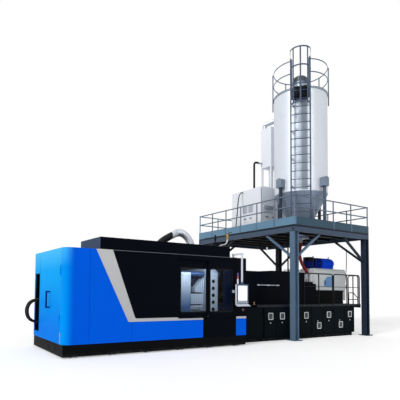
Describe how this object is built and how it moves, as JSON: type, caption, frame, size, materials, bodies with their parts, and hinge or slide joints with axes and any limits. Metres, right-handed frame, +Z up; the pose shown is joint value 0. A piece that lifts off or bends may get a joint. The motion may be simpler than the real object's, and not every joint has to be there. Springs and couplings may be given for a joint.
{
  "type": "pet preform injection moulding machine",
  "caption": "Preform injection moulding machine with a guarded clamp, an injection unit over control cabinets, and a drying hopper and dryer on a steel platform.",
  "frame": {"origin": "on the floor, under the middle of the outline without the free hoses", "axes": "+X along the machine from the clamp end to the injection end, +Y away from the operator, +Z up"},
  "size_m": [12.1071, 5.77, 10.03],
  "materials": {
    "blue_panel": "satin",
    "black_panel": "satin",
    "silver_strip": "brushed",
    "base_black": "matte",
    "frame_grey": "matte",
    "machined_steel": "machined",
    "platen_iron": "painted light grey",
    "clear_pane": "clear",
    "white_enamel": "gloss",
    "panel_grey": "matte",
    "red_plastic": "gloss",
    "cabinet_charcoal": "textured satin",
    "gear_plastic": "matte",
    "deck_charcoal": "textured matte",
    "black_tube": "satin",
    "drive_white": "satin",
    "motor_blue": "gloss",
    "platform_grey": "satin",
    "hopper_steel": "brushed",
    "leg_grey": "satin",
    "dryer_white": "satin",
    "duct_silver": "corrugated",
    "black_rubber": "matte",
    "red_hose": "matte"
  },
  "bodies": {
    "machine": {"air_ducts": "duct_silver", "air_hoses": "black_rubber", "barrel_covers": "black_panel", "black_front_panels": "black_panel", "cabinet_carcass": "cabinet_charcoal", "control_gear": "gear_plastic", "corner_panel": "blue_panel", "dryer_cable": "black_rubber", "dryer_unit": "dryer_white", "end_hose_far": "black_rubber", "end_hose_near": "black_rubber", "end_panels": "blue_panel", "feed_hose": "red_hose", "fixed_platens": "platen_iron", "front_blue_panel": "blue_panel", "gate_tracks": "black_panel", "guard_frame": "frame_grey", "hmi_arm": "white_enamel", "hopper": "hopper_steel", "hopper_legs": "leg_grey", "ladder": "leg_grey", "levelling_pads": "machined_steel", "lower_blue_panels": "blue_panel", "machine_bed": "base_black", "mould_cavity_half": "machined_steel", "platform_deck": "deck_charcoal", "platform_frame": "platform_grey", "platform_railing": "platform_grey", "rear_panels": "black_panel", "roof_hood": "black_panel", "roof_panel": "black_panel", "silver_trim": "silver_strip", "tie_bars": "machined_steel", "top_railing": "leg_grey", "vacuum_receiver": "hopper_steel", "walkway_deck": "deck_charcoal", "walkway_rails": "black_tube"},
    "outer_gate_leaf": {"outer_gate": "black_panel", "outer_gate_glass": "clear_pane"},
    "inner_gate_leaf": {"inner_gate": "black_panel", "inner_gate_glass": "clear_pane"},
    "end_door": {"end_door": "blue_panel"},
    "clamp": {"moving_platen": "platen_iron", "mould_core_half": "machined_steel"},
    "operator_panel": {"hmi_panel": "panel_grey"},
    "stop_button": {"estop_button": "red_plastic"},
    "carriage": {"injection_unit": "machined_steel", "drive_housing": "drive_white", "drive_motors": "motor_blue", "drive_cable": "black_rubber"},
    "screw": {"extruder_screw": "machined_steel"},
    "hopper_gate": {"slide_gate": "machined_steel"},
    "dryer_door": {"dryer_door": "dryer_white"},
    "cabinet_door_1": {"cabinet_door_1": "cabinet_charcoal"},
    "cabinet_door_2": {"cabinet_door_2": "cabinet_charcoal"},
    "cabinet_door_3": {"cabinet_door_3": "cabinet_charcoal"},
    "cabinet_door_4": {"cabinet_door_4": "cabinet_charcoal"},
    "cabinet_door_5": {"cabinet_door_5": "cabinet_charcoal"},
    "cabinet_door_6": {"cabinet_door_6": "cabinet_charcoal"},
    "cabinet_door_7": {"cabinet_door_7": "cabinet_charcoal"}
  },
  "joints": [
    {"name": "outer_gate_slide", "type": "slide", "parent": "machine", "child": "outer_gate_leaf", "axis": [-1, 0, 0], "range_m": [0, 0.95]},
    {"name": "inner_gate_slide", "type": "slide", "parent": "machine", "child": "inner_gate_leaf", "axis": [-1, 0, 0], "range_m": [0, 0.93]},
    {"name": "end_door_hinge", "type": "hinge", "parent": "machine", "child": "end_door", "pos_m": [-5.855, -2.247, 1.4], "axis": [0, 0, 1], "range_deg": [0, 100]},
    {"name": "clamp_slide", "type": "slide", "parent": "machine", "child": "clamp", "axis": [-1, 0, 0], "range_m": [0, 0.65]},
    {"name": "operator_panel_swivel", "type": "hinge", "parent": "machine", "child": "operator_panel", "pos_m": [-0.723, -2.74, 1.78], "axis": [0, 0, 1], "range_deg": [-35, 35]},
    {"name": "stop_button_press", "type": "slide", "parent": "machine", "child": "stop_button", "axis": [0, 1, 0], "range_m": [0, 0.008], "stiffness_N_per_m": 2000, "springref_m": -0.002},
    {"name": "carriage_slide", "type": "slide", "parent": "machine", "child": "carriage", "axis": [1, 0, 0], "range_m": [0, 0.2]},
    {"name": "screw_spin", "type": "hinge", "parent": "carriage", "child": "screw", "pos_m": [3.837, -1.195, 1.8], "axis": [1, 0, 0], "continuous": true},
    {"name": "hopper_gate_slide", "type": "slide", "parent": "machine", "child": "hopper_gate", "axis": [0, -1, 0], "range_m": [0, 0.33]},
    {"name": "dryer_door_hinge", "type": "hinge", "parent": "machine", "child": "dryer_door", "pos_m": [2.878, 0.2145, 4.74], "axis": [0, 0, 1], "range_deg": [0, 110]},
    {"name": "cabinet_door_1_hinge", "type": "hinge", "parent": "machine", "child": "cabinet_door_1", "pos_m": [0.807, -2.084, 0.6], "axis": [0, 0, -1], "range_deg": [0, 95]},
    {"name": "cabinet_door_2_hinge", "type": "hinge", "parent": "machine", "child": "cabinet_door_2", "pos_m": [1.333, -2.084, 0.6], "axis": [0, 0, -1], "range_deg": [0, 95]},
    {"name": "cabinet_door_3_hinge", "type": "hinge", "parent": "machine", "child": "cabinet_door_3", "pos_m": [2.444, -2.084, 0.6], "axis": [0, 0, -1], "range_deg": [0, 95]},
    {"name": "cabinet_door_4_hinge", "type": "hinge", "parent": "machine", "child": "cabinet_door_4", "pos_m": [3.032, -2.084, 0.6], "axis": [0, 0, -1], "range_deg": [0, 95]},
    {"name": "cabinet_door_5_hinge", "type": "hinge", "parent": "machine", "child": "cabinet_door_5", "pos_m": [3.62, -2.084, 0.6], "axis": [0, 0, -1], "range_deg": [0, 95]},
    {"name": "cabinet_door_6_hinge", "type": "hinge", "parent": "machine", "child": "cabinet_door_6", "pos_m": [4.208, -2.084, 0.6], "axis": [0, 0, -1], "range_deg": [0, 95]},
    {"name": "cabinet_door_7_hinge", "type": "hinge", "parent": "machine", "child": "cabinet_door_7", "pos_m": [4.796, -2.084, 0.6], "axis": [0, 0, -1], "range_deg": [0, 95]}
  ]
}
